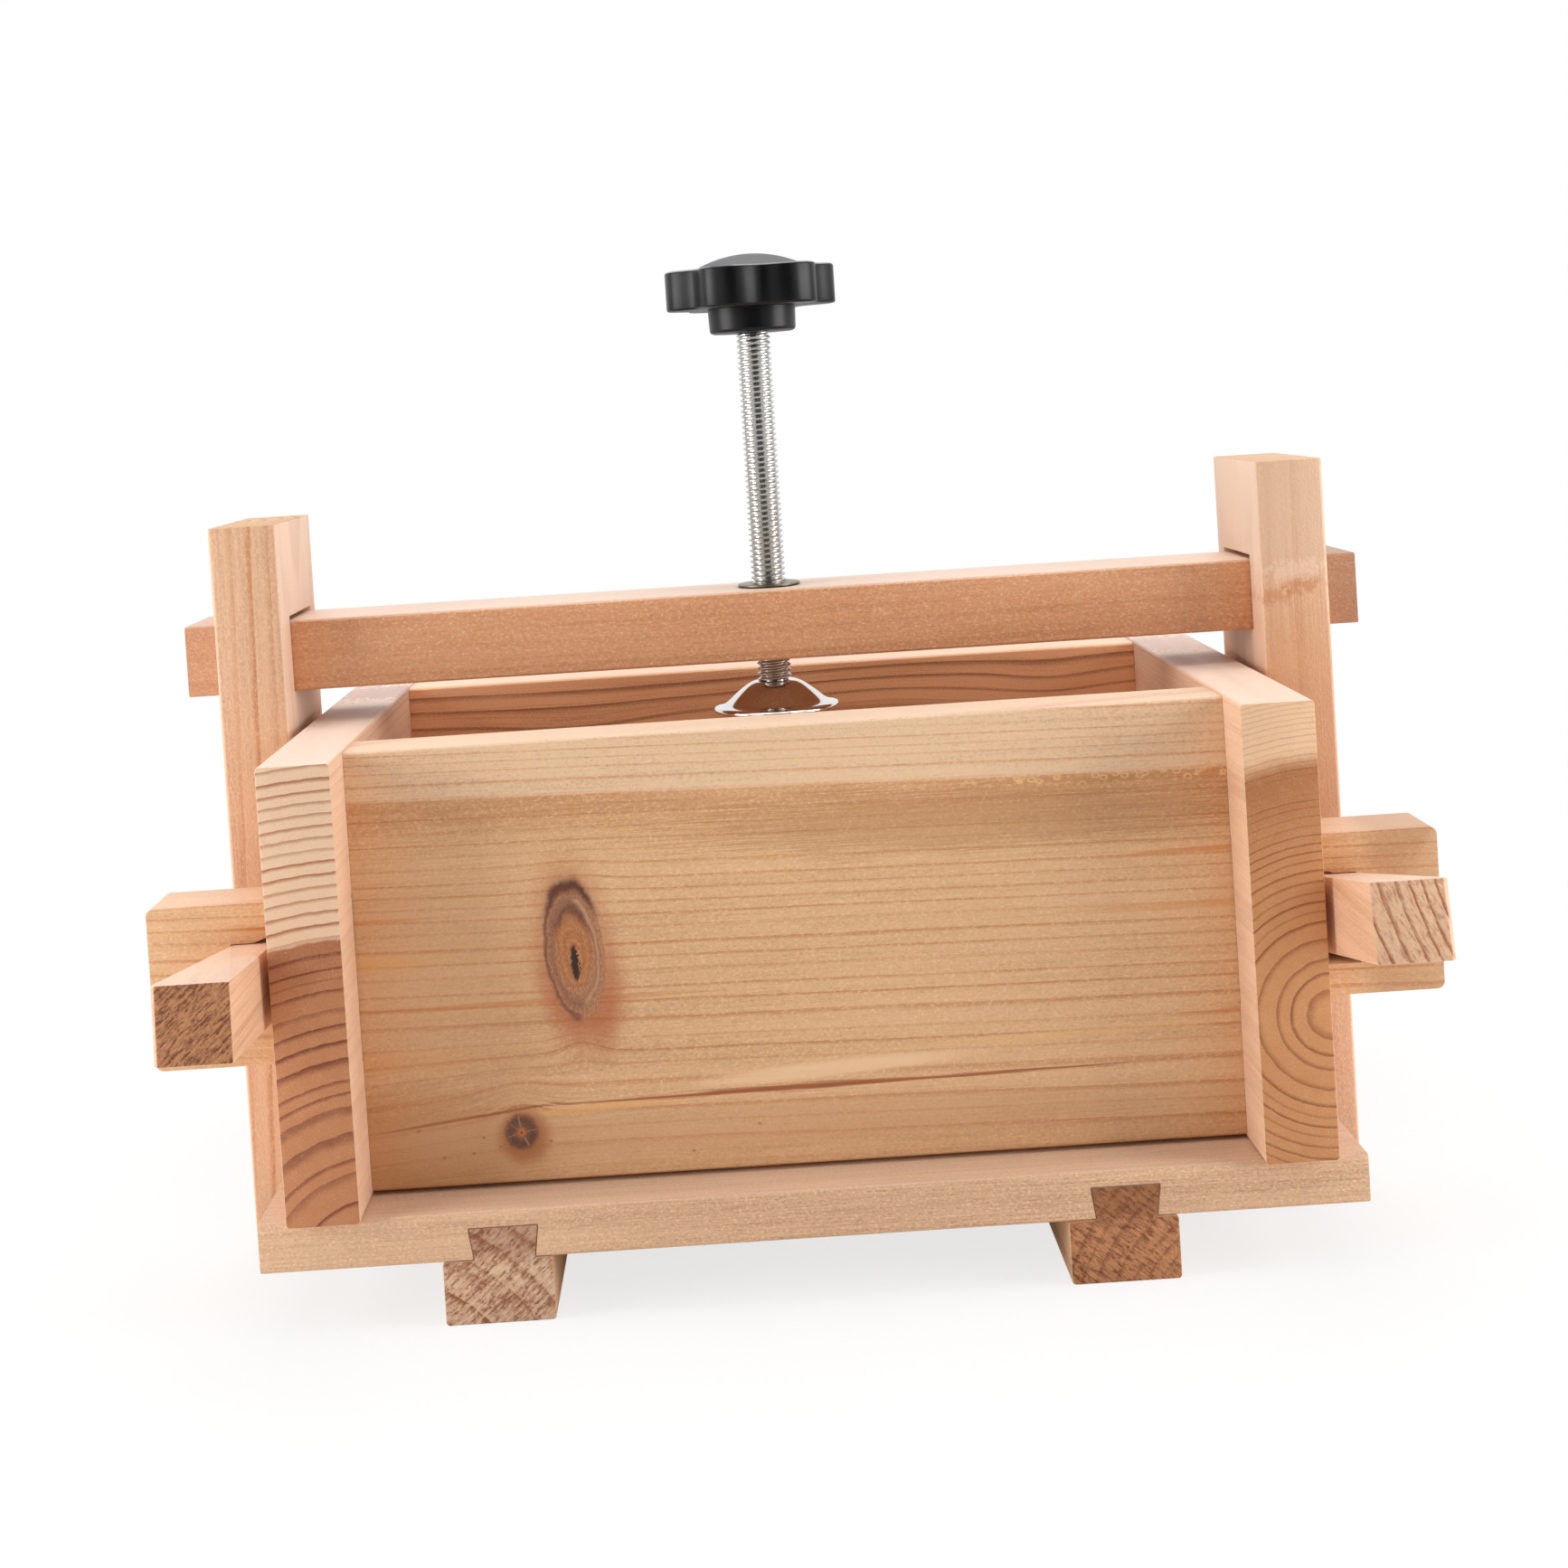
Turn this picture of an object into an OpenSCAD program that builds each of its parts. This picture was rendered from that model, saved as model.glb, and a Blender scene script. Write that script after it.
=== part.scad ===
// Wooden tofu press: a knock-down box held by tapered wedges, standing on a
// battened base, under a beam with a hand screw.
// Origin: middle of the footprint, on the surface that it stands on.
// +X to the right, +Y to the back, +Z up. Millimetres.

/* [Box] */
// Clear width inside the box
inner_w = 183; // [150:1:240]
// Clear depth inside the box, front to back
inner_d = 80; // [70:1:120]
// Height of the two end boards
end_h = 93.5; // [85:0.5:140]
// Thickness of the end boards
end_t = 15; // [12:0.5:18]
// Thickness of the front and back panels
panel_t = 15; // [12:0.5:18]
// How far the panels stand back from the edges of the end boards
panel_set = 15; // [10:0.5:22]
// Drain gap between the panels and the base
drain_gap = 0.9; // [0.5:0.1:3]
// How much lower the panels end than the end boards
rim_step = 0.5; // [0:0.5:3]
// Height of the middle of the tenons above the base
tenon_mid = 46; // [40:0.5:52]
// Height of the tenons
tenon_h = 34; // [30:0.5:40]
// Length of tenon that shows past the end board
tenon_out = 28; // [22:0.5:36]
// Radius of the tenon ends' corners
tenon_r = 1.6; // [0.5:0.1:3]
// Clearance round a tenon in its mortise
tenon_fit = 0.2; // [0.1:0.05:0.4]

/* [Wedges] */
// Width of a wedge at its head
wedge_w = 15.4; // [13:0.2:17]
// Width of a wedge at its tip
wedge_tip = 4.8; // [3:0.2:7]
// Height of a wedge
wedge_h = 15.4; // [12:0.2:16]
// Length of a wedge
wedge_len = 66; // [60:1:70]
// Length of wedge that shows in front of the tenon
wedge_out = 40; // [34:1:44]
// Air between a wedge and its end board
wedge_gap = 1.7; // [0.5:0.1:3]
// Upward tilt of the wedge heads on the left
wedge_tilt_left = 4.4; // [0:0.1:8]
// Upward tilt of the wedge heads on the right
wedge_tilt_right = 11; // [0:0.1:12]
// Height of the slots' upper edge above the middle of the tenon
slot_up = 8.6; // [6:0.2:10]
// Extra height of a slot at its corner next to the end board
slot_rise = 2.2; // [0:0.2:3]
// Clearance of a wedge in its slot
wedge_fit = 0.15; // [0.1:0.05:0.3]
// Length of the slant at a slot's corner next to the end board
slot_slant = 6; // [3:0.5:9]
// How far a slot reaches into the end board
slot_sink = 1.5; // [0.5:0.1:3]
// Corner planed off a wedge's head
wedge_nip = 1; // [0.4:0.1:2]

/* [Base] */
// Thickness of the base board
base_t = 10; // [8:0.5:15]
// How far the base reaches past the outer faces of the end boards
base_over = 6.5; // [5:0.5:8]
// How far the base stands back from the fronts of the end boards
base_set = 2.5; // [0:0.5:6]
// Height of the foot battens below the base
foot_h = 13; // [10:0.5:18]
// Width of the foot battens
foot_w = 22.4; // [20:0.2:28]
// Distance of each foot batten from the middle
foot_x = 63.3; // [45:0.1:75]
// How far the left batten sits outwards of its key
foot_out_left = 1.5; // [-3:0.1:3]
// How far the right batten sits outwards of its key
foot_out_right = -0.7; // [-3:0.1:3]
// Width of the dovetail key at the underside of the base
key_neck = 12.3; // [10:0.1:14]
// Width of the dovetail key at its top
key_top = 14.1; // [12:0.1:16]
// Height of the dovetail key
key_h = 6.6; // [5:0.1:7]
// Clearance of the keys in their grooves
key_fit = 0.1; // [0.05:0.05:0.2]

/* [Posts and beam] */
// Thickness of the posts
post_t = 15; // [12:0.5:18]
// Depth of the posts, front to back
post_d = 40; // [34:1:46]
// Height of the top of the posts above the base
post_h = 139.5; // [130:0.5:200]
// Gap between the posts and the end boards
post_gap = 2.7; // [1:0.1:5]
// How far forward of the middle the posts stand
post_fwd = 2; // [0:0.5:5]
// Height of the posts' lower ends above the surface
post_low = 3; // [1:0.5:6]
// Depth of the beam, front to back
beam_d = 24; // [20:0.5:28]
// Height of the beam
beam_h = 16; // [14:0.5:20]
// Gap between the box and the beam
beam_gap = 7.5; // [5:0.5:30]
// How far the beam reaches past the posts
beam_out = 9.1; // [6:0.1:20]
// Clearance of the beam in the posts, front and back
beam_fit = 0.3; // [0.2:0.05:0.6]
// Clearance over the beam in the posts
beam_over = 1; // [0.5:0.1:2]
// Depth of the base's tenon in the posts, front to back
lock_d = 22; // [16:1:28]

/* [Screw and foot] */
// Diameter of the screw
rod_d = 8; // [6:0.5:10]
// Length of screw between the insert and the knob
rod_show = 58; // [40:1:90]
// Running clearance round the screw
rod_fit = 0.05; // [0.02:0.01:0.08]
// Outside diameter of the threaded insert
insert_d = 11.8; // [11.4:0.1:13]
// Length of the threaded insert in the beam
insert_l = 13; // [8:0.5:13.5]
// Diameter of the insert's flange
insert_flange = 14.5; // [14:0.1:18]
// Thickness of the insert's flange
flange_t = 0.9; // [0.6:0.1:1.5]
// Diameter of the swivel foot
pad_d = 29.4; // [27:0.2:36]
// Height of the swivel foot
pad_h = 6.8; // [6:0.1:9]
// Sheet thickness of the swivel foot
pad_t = 1.2; // [0.8:0.1:1.5]
// Diameter of the swivel foot's dome
dome_d = 20.8; // [19:0.2:24]
// Gap between the beam and the swivel foot
pad_gap = 6; // [5.5:0.5:12]

/* [Knob] */
// Diameter of the knob over its lobes
knob_d = 39.4; // [34:0.2:50]
// Height of the lobed body
knob_h = 9.2; // [8:0.2:14]
// Number of lobes
lobes = 6; // [5:1:8]
// Radius of the tip of a lobe
lobe_r = 6.4; // [5.5:0.1:7]
// Depth of the hollows between the lobes
hollow = 4.2; // [3:0.1:5]
// Direction of the first lobe
lobe_turn = -52; // [-60:1:60]
// Diameter of the hub under the lobes
hub_d = 20; // [16:0.5:24]
// Height of the hub
hub_h = 5.8; // [4:0.1:9]
// Diameter of the domed cap
cap_d = 26; // [20:0.5:28]
// Height of the domed cap over the lobes
cap_h = 3.3; // [2:0.1:5]

/* [Press board] */
// Thickness of the press board
lid_t = 13; // [10:0.5:18]
// Clearance between the press board and the box, on each side
lid_gap = 1; // [0.5:0.1:2]

/* [Hidden] */

ease = 0.5;                               // planed-off long edges
cut = 1;                                  // how far a cut runs past a face
seat = 0.2;                               // play of the pieces on the screw's end
end_x = inner_w / 2;                      // inner face of an end board
end_out = end_x + end_t;                  // its outer face
panel_y = inner_d / 2;                    // inner face of a panel
panel_front = panel_y + panel_t;          // its outer face
end_d = 2 * (panel_front + panel_set);    // depth of the end boards
base_z = foot_h;                          // underside of the base
floor_z = base_z + base_t;                // floor of the box
end_top = floor_z + end_h;
panel_top = end_top - rim_step;
tenon_z = floor_z + tenon_mid;
tenon_end = end_out + tenon_out;
base_x = end_out + base_over;
base_d = end_d - 2 * base_set;
post_x = end_out + post_gap;              // inner face of a post
post_out = post_x + post_t;
post_top = floor_z + post_h;
beam_z = end_top + beam_gap;
beam_top = beam_z + beam_h;
beam_x = post_out + beam_out;
wedge_x = end_out + wedge_gap;            // inner face of a wedge
slot_z = tenon_z + slot_up;               // upper edge of a slot
taper = (wedge_w - wedge_tip) / wedge_len;
pad_top = beam_z - pad_gap;
pad_z = pad_top - pad_h;
hub_z = beam_top + flange_t + rod_show;
lobe_z = hub_z + hub_h;
neck_r = rod_d / 2 - 1.1;                 // turned end of the screw
washer_t = 1;
washer_z = pad_top - pad_t - seat - washer_t;
head_t = 1;                               // its peened head

// A bar with eased long edges, centred on the two short directions.
module bar(l, w, h) {
    translate([-l / 2, 0, 0]) rotate([90, 0, 90]) linear_extrude(l)
        polygon([[-w / 2 + ease, 0], [w / 2 - ease, 0], [w / 2, ease], [w / 2, h - ease],
            [w / 2 - ease, h], [-w / 2 + ease, h], [-w / 2, h - ease], [-w / 2, ease]]);
}

// A block between two corners.
module block(a, b) { translate(a) cube(b - a); }

// An outline with round corners, centred on z.
module round_face(w, h, r) {
    translate([0, -h / 2 + r]) square([w, h - 2 * r]);
    translate([r, -h / 2]) square([w - 2 * r, h]);
    for (x = [r, w - r], y = [-h / 2 + r, h / 2 - r]) translate([x, y]) circle(r, $fn = 32);
}

// Dovetail outline, widest at the top, grown by a clearance.
module dovetail(c) {
    slope = (key_top - key_neck) / 2 / key_h;
    polygon([[-key_neck / 2 - c + slope * cut, -cut], [key_neck / 2 + c - slope * cut, -cut],
        [key_top / 2 + c, key_h + c], [-key_top / 2 - c, key_h + c]]);
}

// The space that a wedge needs in a tenon on the right, front side. It has the wedge's
// taper and, next to the end board, a raised corner.
module slot(tilt) {
    h = wedge_h / cos(tilt) + panel_t * tan(tilt) + 3 * wedge_fit;
    y0 = -panel_front;
    y1 = -panel_y;
    // Width at the tenon's face, and behind it
    w0 = wedge_w - taper * wedge_out + wedge_fit;
    w1 = w0 - taper * panel_t;
    x0 = end_out - slot_sink;
    intersection() {
        translate([0, 0, slot_z - h]) linear_extrude(h + slot_rise + cut) polygon([
            [x0, y0 - cut], [wedge_x + w0 + taper * cut, y0 - cut],
            [wedge_x + w1 - taper * cut, y1 + cut], [x0, y1 + cut]]);
        rotate([90, 0, 0]) translate([0, 0, -y1 - cut]) linear_extrude(panel_t + 2 * cut)
            polygon([[x0 - cut, slot_z - h], [tenon_end, slot_z - h], [tenon_end, slot_z],
                [end_out + slot_slant, slot_z], [end_out, slot_z + slot_rise],
                [x0 - cut, slot_z + slot_rise]]);
    }
}

// Wedge on the right, front side: tapered on its outer face, tilted about its crossing
// with the tenon's face.
module wedge(tilt) {
    translate([0, -panel_front, slot_z - wedge_fit]) rotate([-tilt, 0, 0])
        translate([0, 0, -wedge_h]) linear_extrude(wedge_h) polygon([
            [wedge_x, -wedge_out], [wedge_x + wedge_w - wedge_nip, -wedge_out],
            [wedge_x + wedge_w - taper * wedge_nip, -wedge_out + wedge_nip],
            [wedge_x + wedge_tip, wedge_len - wedge_out], [wedge_x, wedge_len - wedge_out]]);
}

// Front panel with both through tenons. The back panel is its mirror image.
module panel() {
    difference() {
        union() {
            translate([0, -panel_y - panel_t / 2, floor_z + drain_gap])
                bar(inner_w, panel_t, panel_top - floor_z - drain_gap);
            for (s = [0, 1]) mirror([s, 0, 0])
                translate([end_x - cut, -panel_y, tenon_z]) rotate([90, 0, 0])
                    linear_extrude(panel_t) round_face(tenon_end - end_x + cut, tenon_h, tenon_r);
        }
        slot(wedge_tilt_right);
        mirror([1, 0, 0]) slot(wedge_tilt_left);
    }
}

// End board on the right, with its two mortises.
module end_board() {
    c = tenon_fit;
    difference() {
        translate([end_x + end_t / 2, 0, floor_z]) rotate([0, 0, 90]) bar(end_d, end_t, end_h);
        for (s = [0, 1]) mirror([0, s, 0])
            block([end_x - cut, -panel_front - c, tenon_z - tenon_h / 2 - c],
                [end_out + cut, -panel_y + c, tenon_z + tenon_h / 2 + c]);
    }
}

// Post on the right: mortise for the beam above, for the base's tenon below.
module post() {
    difference() {
        translate([post_x + post_t / 2, -post_fwd, post_low])
            rotate([0, -90, 0]) translate([(post_top - post_low) / 2, 0, -post_t / 2])
                bar(post_top - post_low, post_d, post_t);
        block([post_x - cut, -beam_d / 2 - beam_fit, beam_z],
            [post_out + cut, beam_d / 2 + beam_fit, beam_top + beam_over]);
        block([post_x - cut, -lock_d / 2 - post_fwd - tenon_fit, base_z],
            [post_out + cut, lock_d / 2 - post_fwd + tenon_fit, floor_z]);
    }
}

// Foot batten on the right, with its dovetail key along the top. The batten sits
// outwards of its key by a given length.
module foot_batten(out) {
    translate([foot_x, 0, 0]) {
        translate([out, 0, 0]) rotate([0, 0, 90]) bar(base_d, foot_w, foot_h);
        translate([0, base_d / 2, foot_h]) rotate([90, 0, 0]) linear_extrude(base_d)
            dovetail(0);
    }
}

module base_board() {
    color("burlywood") difference() {
        union() {
            translate([0, 0, base_z]) bar(2 * base_x, base_d, base_t);
            block([-post_out, -post_fwd - lock_d / 2, base_z],
                [post_out, -post_fwd + lock_d / 2, floor_z]);
        }
        // Notches that hold the posts on both sides of the tenons
        for (s = [0, 1]) mirror([s, 0, 0]) for (t = [-1, 1])
            translate([0, -post_fwd, 0]) block(
                [post_x - tenon_fit, t > 0 ? lock_d / 2 : -post_d / 2 - tenon_fit, base_z - cut],
                [base_x + cut, t > 0 ? post_d / 2 + tenon_fit : -lock_d / 2, floor_z + cut]);
        for (s = [0, 1]) mirror([s, 0, 0])
            translate([foot_x, base_d / 2 + cut, base_z]) rotate([90, 0, 0])
                linear_extrude(base_d + 2 * cut) dovetail(key_fit);
    }
}

module foot_batten_left() { color("tan") mirror([1, 0, 0]) foot_batten(foot_out_left); }
module foot_batten_right() { color("tan") foot_batten(foot_out_right); }
module end_board_left() { color("burlywood") mirror([1, 0, 0]) end_board(); }
module end_board_right() { color("burlywood") end_board(); }
module front_panel() { color("wheat") panel(); }
module back_panel() { color("wheat") mirror([0, 1, 0]) panel(); }
module wedge_front_left() { color("tan") mirror([1, 0, 0]) wedge(wedge_tilt_left); }
module wedge_front_right() { color("tan") wedge(wedge_tilt_right); }
module wedge_back_left() {
    color("tan") mirror([1, 0, 0]) mirror([0, 1, 0]) wedge(wedge_tilt_left);
}
module wedge_back_right() { color("tan") mirror([0, 1, 0]) wedge(wedge_tilt_right); }
module post_left() { color("peachpuff") mirror([1, 0, 0]) post(); }
module post_right() { color("peachpuff") post(); }

module top_beam() {
    color("sandybrown") difference() {
        translate([0, 0, beam_z]) bar(2 * beam_x, beam_d, beam_h);
        translate([0, 0, beam_top - insert_l - seat])
            cylinder(h = insert_l + seat + cut, r = insert_d / 2 + rod_fit, $fn = 64);
        translate([0, 0, beam_z - cut]) cylinder(h = beam_h, r = rod_d / 2 + 0.5, $fn = 64);
    }
}

// Flanged threaded insert. Its flange lies on the beam.
module insert_nut() {
    color("silver") difference() {
        union() {
            translate([0, 0, beam_top - insert_l]) cylinder(h = insert_l, d = insert_d, $fn = 64);
            translate([0, 0, beam_top]) cylinder(h = flange_t, d = insert_flange, $fn = 64);
        }
        translate([0, 0, beam_top - insert_l - cut])
            cylinder(h = insert_l + flange_t + 2 * cut, r = rod_d / 2 + rod_fit, $fn = 64);
    }
}

// Screw, with the turned and peened end that holds the swivel foot.
module screw_rod() {
    color("silver") {
        translate([0, 0, pad_top + seat])
            cylinder(h = hub_z + hub_h + knob_h / 2 - seat - pad_top - seat, d = rod_d, $fn = 64);
        translate([0, 0, washer_z]) cylinder(h = pad_top + seat - washer_z, r = neck_r, $fn = 64);
        translate([0, 0, washer_z - head_t])
            cylinder(h = head_t, r1 = neck_r, r2 = neck_r + 0.9, $fn = 64);
    }
}

// Lobed outline: round lobes on a core, with round hollows between them.
module star() {
    step = 360 / lobes;
    ring = knob_d / 2 - lobe_r;
    difference() {
        union() {
            circle(r = ring + lobe_r * 0.55, $fn = 96);
            for (i = [0:lobes - 1]) rotate(lobe_turn + i * step)
                translate([ring, 0]) circle(r = lobe_r, $fn = 48);
        }
        for (i = [0:lobes - 1]) rotate(lobe_turn + (i + 0.5) * step)
            translate([knob_d / 2 + 0.6, 0]) circle(r = hollow, $fn = 48);
    }
}

module knob() {
    color("black") difference() {
        union() {
            translate([0, 0, lobe_z]) linear_extrude(knob_h) star();
            translate([0, 0, hub_z]) cylinder(h = 0.8, d1 = hub_d - 1.6, d2 = hub_d, $fn = 96);
            translate([0, 0, hub_z + 0.8])
                cylinder(h = hub_h - 0.8, d1 = hub_d, d2 = hub_d + 0.4, $fn = 96);
        }
        translate([0, 0, hub_z - cut])
            cylinder(h = cut + hub_h + knob_h / 2, r = rod_d / 2 + rod_fit, $fn = 64);
        // Shallow seat of the cap
        translate([0, 0, lobe_z + knob_h - 1]) cylinder(h = 2, r = cap_d / 2 + 0.1, $fn = 96);
    }
}

// Domed cap, a slice of a ball on a short rim.
module knob_cap() {
    ball = (pow(cap_d / 2, 2) + pow(cap_h, 2)) / 2 / cap_h;
    color("dimgray") {
        translate([0, 0, lobe_z + knob_h - 1]) cylinder(h = 1, d = cap_d, $fn = 96);
        translate([0, 0, lobe_z + knob_h]) intersection() {
            cylinder(h = cap_h + cut, d = cap_d, $fn = 96);
            translate([0, 0, cap_h - ball]) sphere(r = ball, $fn = 96);
        }
    }
}

// Pressed sheet foot: a flared rim that rises to a dome with a hole for the screw's neck.
module press_foot() {
    top_r = rod_d / 2 + 0.4;
    hole = neck_r + 2 * rod_fit;
    rim = pad_d / 2;
    low = 2.2;
    side = dome_d / 2;
    color("silver") translate([0, 0, pad_z]) rotate_extrude($fn = 96) polygon(concat(
        [[rim - 0.5, 0], [rim, 0.4], [rim, 1], [rim - 0.5, 1.4], [(rim + side) / 2, 1.7]],
        [for (a = [0:7.5:90]) [top_r + (side - top_r) * cos(a), low + (pad_h - low) * sin(a)]],
        [[hole, pad_h], [hole, pad_h - pad_t]],
        [for (a = [90:-7.5:0]) [top_r + (side - pad_t - top_r) * cos(a),
            low - 0.7 + (pad_h - pad_t - low + 0.7) * sin(a)]],
        [[side + 0.4, 0]]));
}

module foot_washer() {
    color("silver") translate([0, 0, washer_z]) difference() {
        cylinder(h = washer_t, r = neck_r + 1.3, $fn = 64);
        translate([0, 0, -cut]) cylinder(h = 3, r = neck_r + rod_fit, $fn = 64);
    }
}

module press_lid() {
    color("wheat") translate([0, 0, floor_z])
        bar(inner_w - 2 * lid_gap, inner_d - 2 * lid_gap, lid_t);
}

base_board();
foot_batten_left();
foot_batten_right();
end_board_left();
end_board_right();
front_panel();
back_panel();
wedge_front_left();
wedge_front_right();
wedge_back_left();
wedge_back_right();
post_left();
post_right();
top_beam();
insert_nut();
screw_rod();
knob();
knob_cap();
press_foot();
foot_washer();
press_lid();
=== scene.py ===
import logging
import math
from dataclasses import dataclass
from enum import Enum
from typing import Any, Callable, Sequence

import bmesh
import bpy
from mathutils import Matrix, Vector


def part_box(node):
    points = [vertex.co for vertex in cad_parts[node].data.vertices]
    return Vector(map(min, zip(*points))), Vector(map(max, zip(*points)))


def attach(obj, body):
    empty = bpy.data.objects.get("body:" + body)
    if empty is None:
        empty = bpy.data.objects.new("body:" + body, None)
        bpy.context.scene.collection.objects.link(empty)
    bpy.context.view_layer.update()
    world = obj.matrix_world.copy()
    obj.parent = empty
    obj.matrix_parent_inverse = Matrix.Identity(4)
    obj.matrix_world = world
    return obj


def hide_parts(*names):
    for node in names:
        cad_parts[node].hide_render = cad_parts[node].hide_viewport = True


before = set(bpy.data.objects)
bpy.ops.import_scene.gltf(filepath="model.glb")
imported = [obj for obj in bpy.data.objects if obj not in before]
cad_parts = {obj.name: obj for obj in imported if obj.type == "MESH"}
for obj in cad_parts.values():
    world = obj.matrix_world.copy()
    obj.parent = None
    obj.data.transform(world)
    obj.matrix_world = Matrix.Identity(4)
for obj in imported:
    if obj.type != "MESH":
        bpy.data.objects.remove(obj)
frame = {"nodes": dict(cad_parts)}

LOG = logging.getLogger("tofu_press")
MM = 0.001
PER_METRE = 1000.0
# Highest value of a screen colour
FULL = 255
# Number of the Mix node's colour output
MIXED_COLOUR = 2
SENSOR_MM = 36.0
# Points closer than this many metres, and faces flatter than this many degrees, are one
WELD = 1e-6
FLAT = 0.5
Color = tuple[float, float, float]
Pair = tuple[float, float]
Triple = tuple[float, float, float]


class Axis(Enum):
    """A direction of the object's frame."""

    X = 0
    Y = 1
    Z = 2


class Body(Enum):
    """The bodies of the press, each of which moves as one."""

    FRAME = "frame"
    BOX = "box"
    LID = "lid"
    WEDGE_FRONT_LEFT = "wedge_front_left"
    WEDGE_FRONT_RIGHT = "wedge_front_right"
    WEDGE_BACK_LEFT = "wedge_back_left"
    WEDGE_BACK_RIGHT = "wedge_back_right"
    BEAM = "beam"
    FOOT = "foot"
    SCREW = "screw"


def srgb(r: int, g: int, b: int) -> Color:
    """Turns a screen colour into the linear values that a shader takes.

    Args:
        r: Red, 0 to 255.
        g: Green, 0 to 255.
        b: Blue, 0 to 255.

    Returns:
        The linear colour.
    """
    def line(c: int) -> float:
        """Undoes the screen's curve for one value."""
        s = c / FULL
        return s / 12.92 if s <= 0.04045 else ((s + 0.055) / 1.055) ** 2.4
    return (line(r), line(g), line(b))


# --- shader maths


def math_node(operation: str, reflected: bool = False) -> Callable[..., "Signal"]:
    """Makes a method of Signal that adds a Math node.

    Args:
        operation: The node's operation.
        reflected: Whether the signal is the last term instead of the first.

    Returns:
        The method.
    """
    def method(self: "Signal", *others: Any) -> "Signal":
        """Adds the node.

        Args:
            others: The other terms, signals or numbers.

        Returns:
            The node's value.
        """
        terms = (*others, self) if reflected else (self, *others)
        node = self.recipe.node("ShaderNodeMath", {"operation": operation},
                                dict(enumerate(terms)))
        return Signal(self.recipe, node.outputs[0])
    return method


class Signal:
    """A shader value that takes part in Python arithmetic."""

    __add__ = math_node("ADD")
    __radd__ = math_node("ADD", reflected=True)
    __sub__ = math_node("SUBTRACT")
    __rsub__ = math_node("SUBTRACT", reflected=True)
    __mul__ = math_node("MULTIPLY")
    __rmul__ = math_node("MULTIPLY", reflected=True)
    __truediv__ = math_node("DIVIDE")
    __rpow__ = math_node("POWER", reflected=True)
    __abs__ = math_node("ABSOLUTE")
    root = math_node("SQRT")
    fraction = math_node("FRACT")
    sine = math_node("SINE")
    low = math_node("MINIMUM")
    high = math_node("MAXIMUM")

    def __init__(self, recipe: "Recipe", socket: Any) -> None:
        """Keeps the socket and the recipe that it belongs to."""
        self.recipe = recipe
        self.socket = socket

    def __neg__(self) -> "Signal":
        """Negative."""
        return self * -1.0

    def fall(self) -> "Signal":
        """A bell that is 1 at zero and fades on both sides."""
        return math.e ** -(self * self)

    def step(self, start: float, end: float) -> "Signal":
        """Rises smoothly from 0 to 1.

        Args:
            start: Value at which it leaves 0.
            end: Value at which it reaches 1.

        Returns:
            The smooth step.
        """
        node = self.recipe.node("ShaderNodeMapRange", {"interpolation_type": "SMOOTHSTEP"},
                                {0: self, 1: start, 2: end, 3: 0.0, 4: 1.0})
        return Signal(self.recipe, node.outputs[0])


def add_node(tree: Any, kind: str, settings: dict[str, Any], values: dict[Any, Any]) -> Any:
    """Adds a node, sets its options first and then its inputs.

    Args:
        tree: The node tree.
        kind: The node's type name.
        settings: Its options by name.
        values: Its inputs, by name or number, as links, numbers or colours.

    Returns:
        The node.
    """
    node = tree.nodes.new(kind)
    for key, value in settings.items():
        setattr(node, key, value)
    for key, value in values.items():
        feed(tree, node.inputs[key], value)
    return node


def feed(tree: Any, socket: Any, value: Any) -> None:
    """Links a signal or socket to an input, or writes a number or colour into it.

    Args:
        tree: The node tree.
        socket: The input.
        value: The signal, socket, number or colour.
    """
    if isinstance(value, Signal):
        tree.links.new(value.socket, socket)
    elif isinstance(value, bpy.types.NodeSocket):
        tree.links.new(value, socket)
    elif isinstance(value, tuple) and len(value) == 3 and len(socket.default_value) == 4:
        socket.default_value = (*value, 1.0)
    else:
        socket.default_value = value


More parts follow.
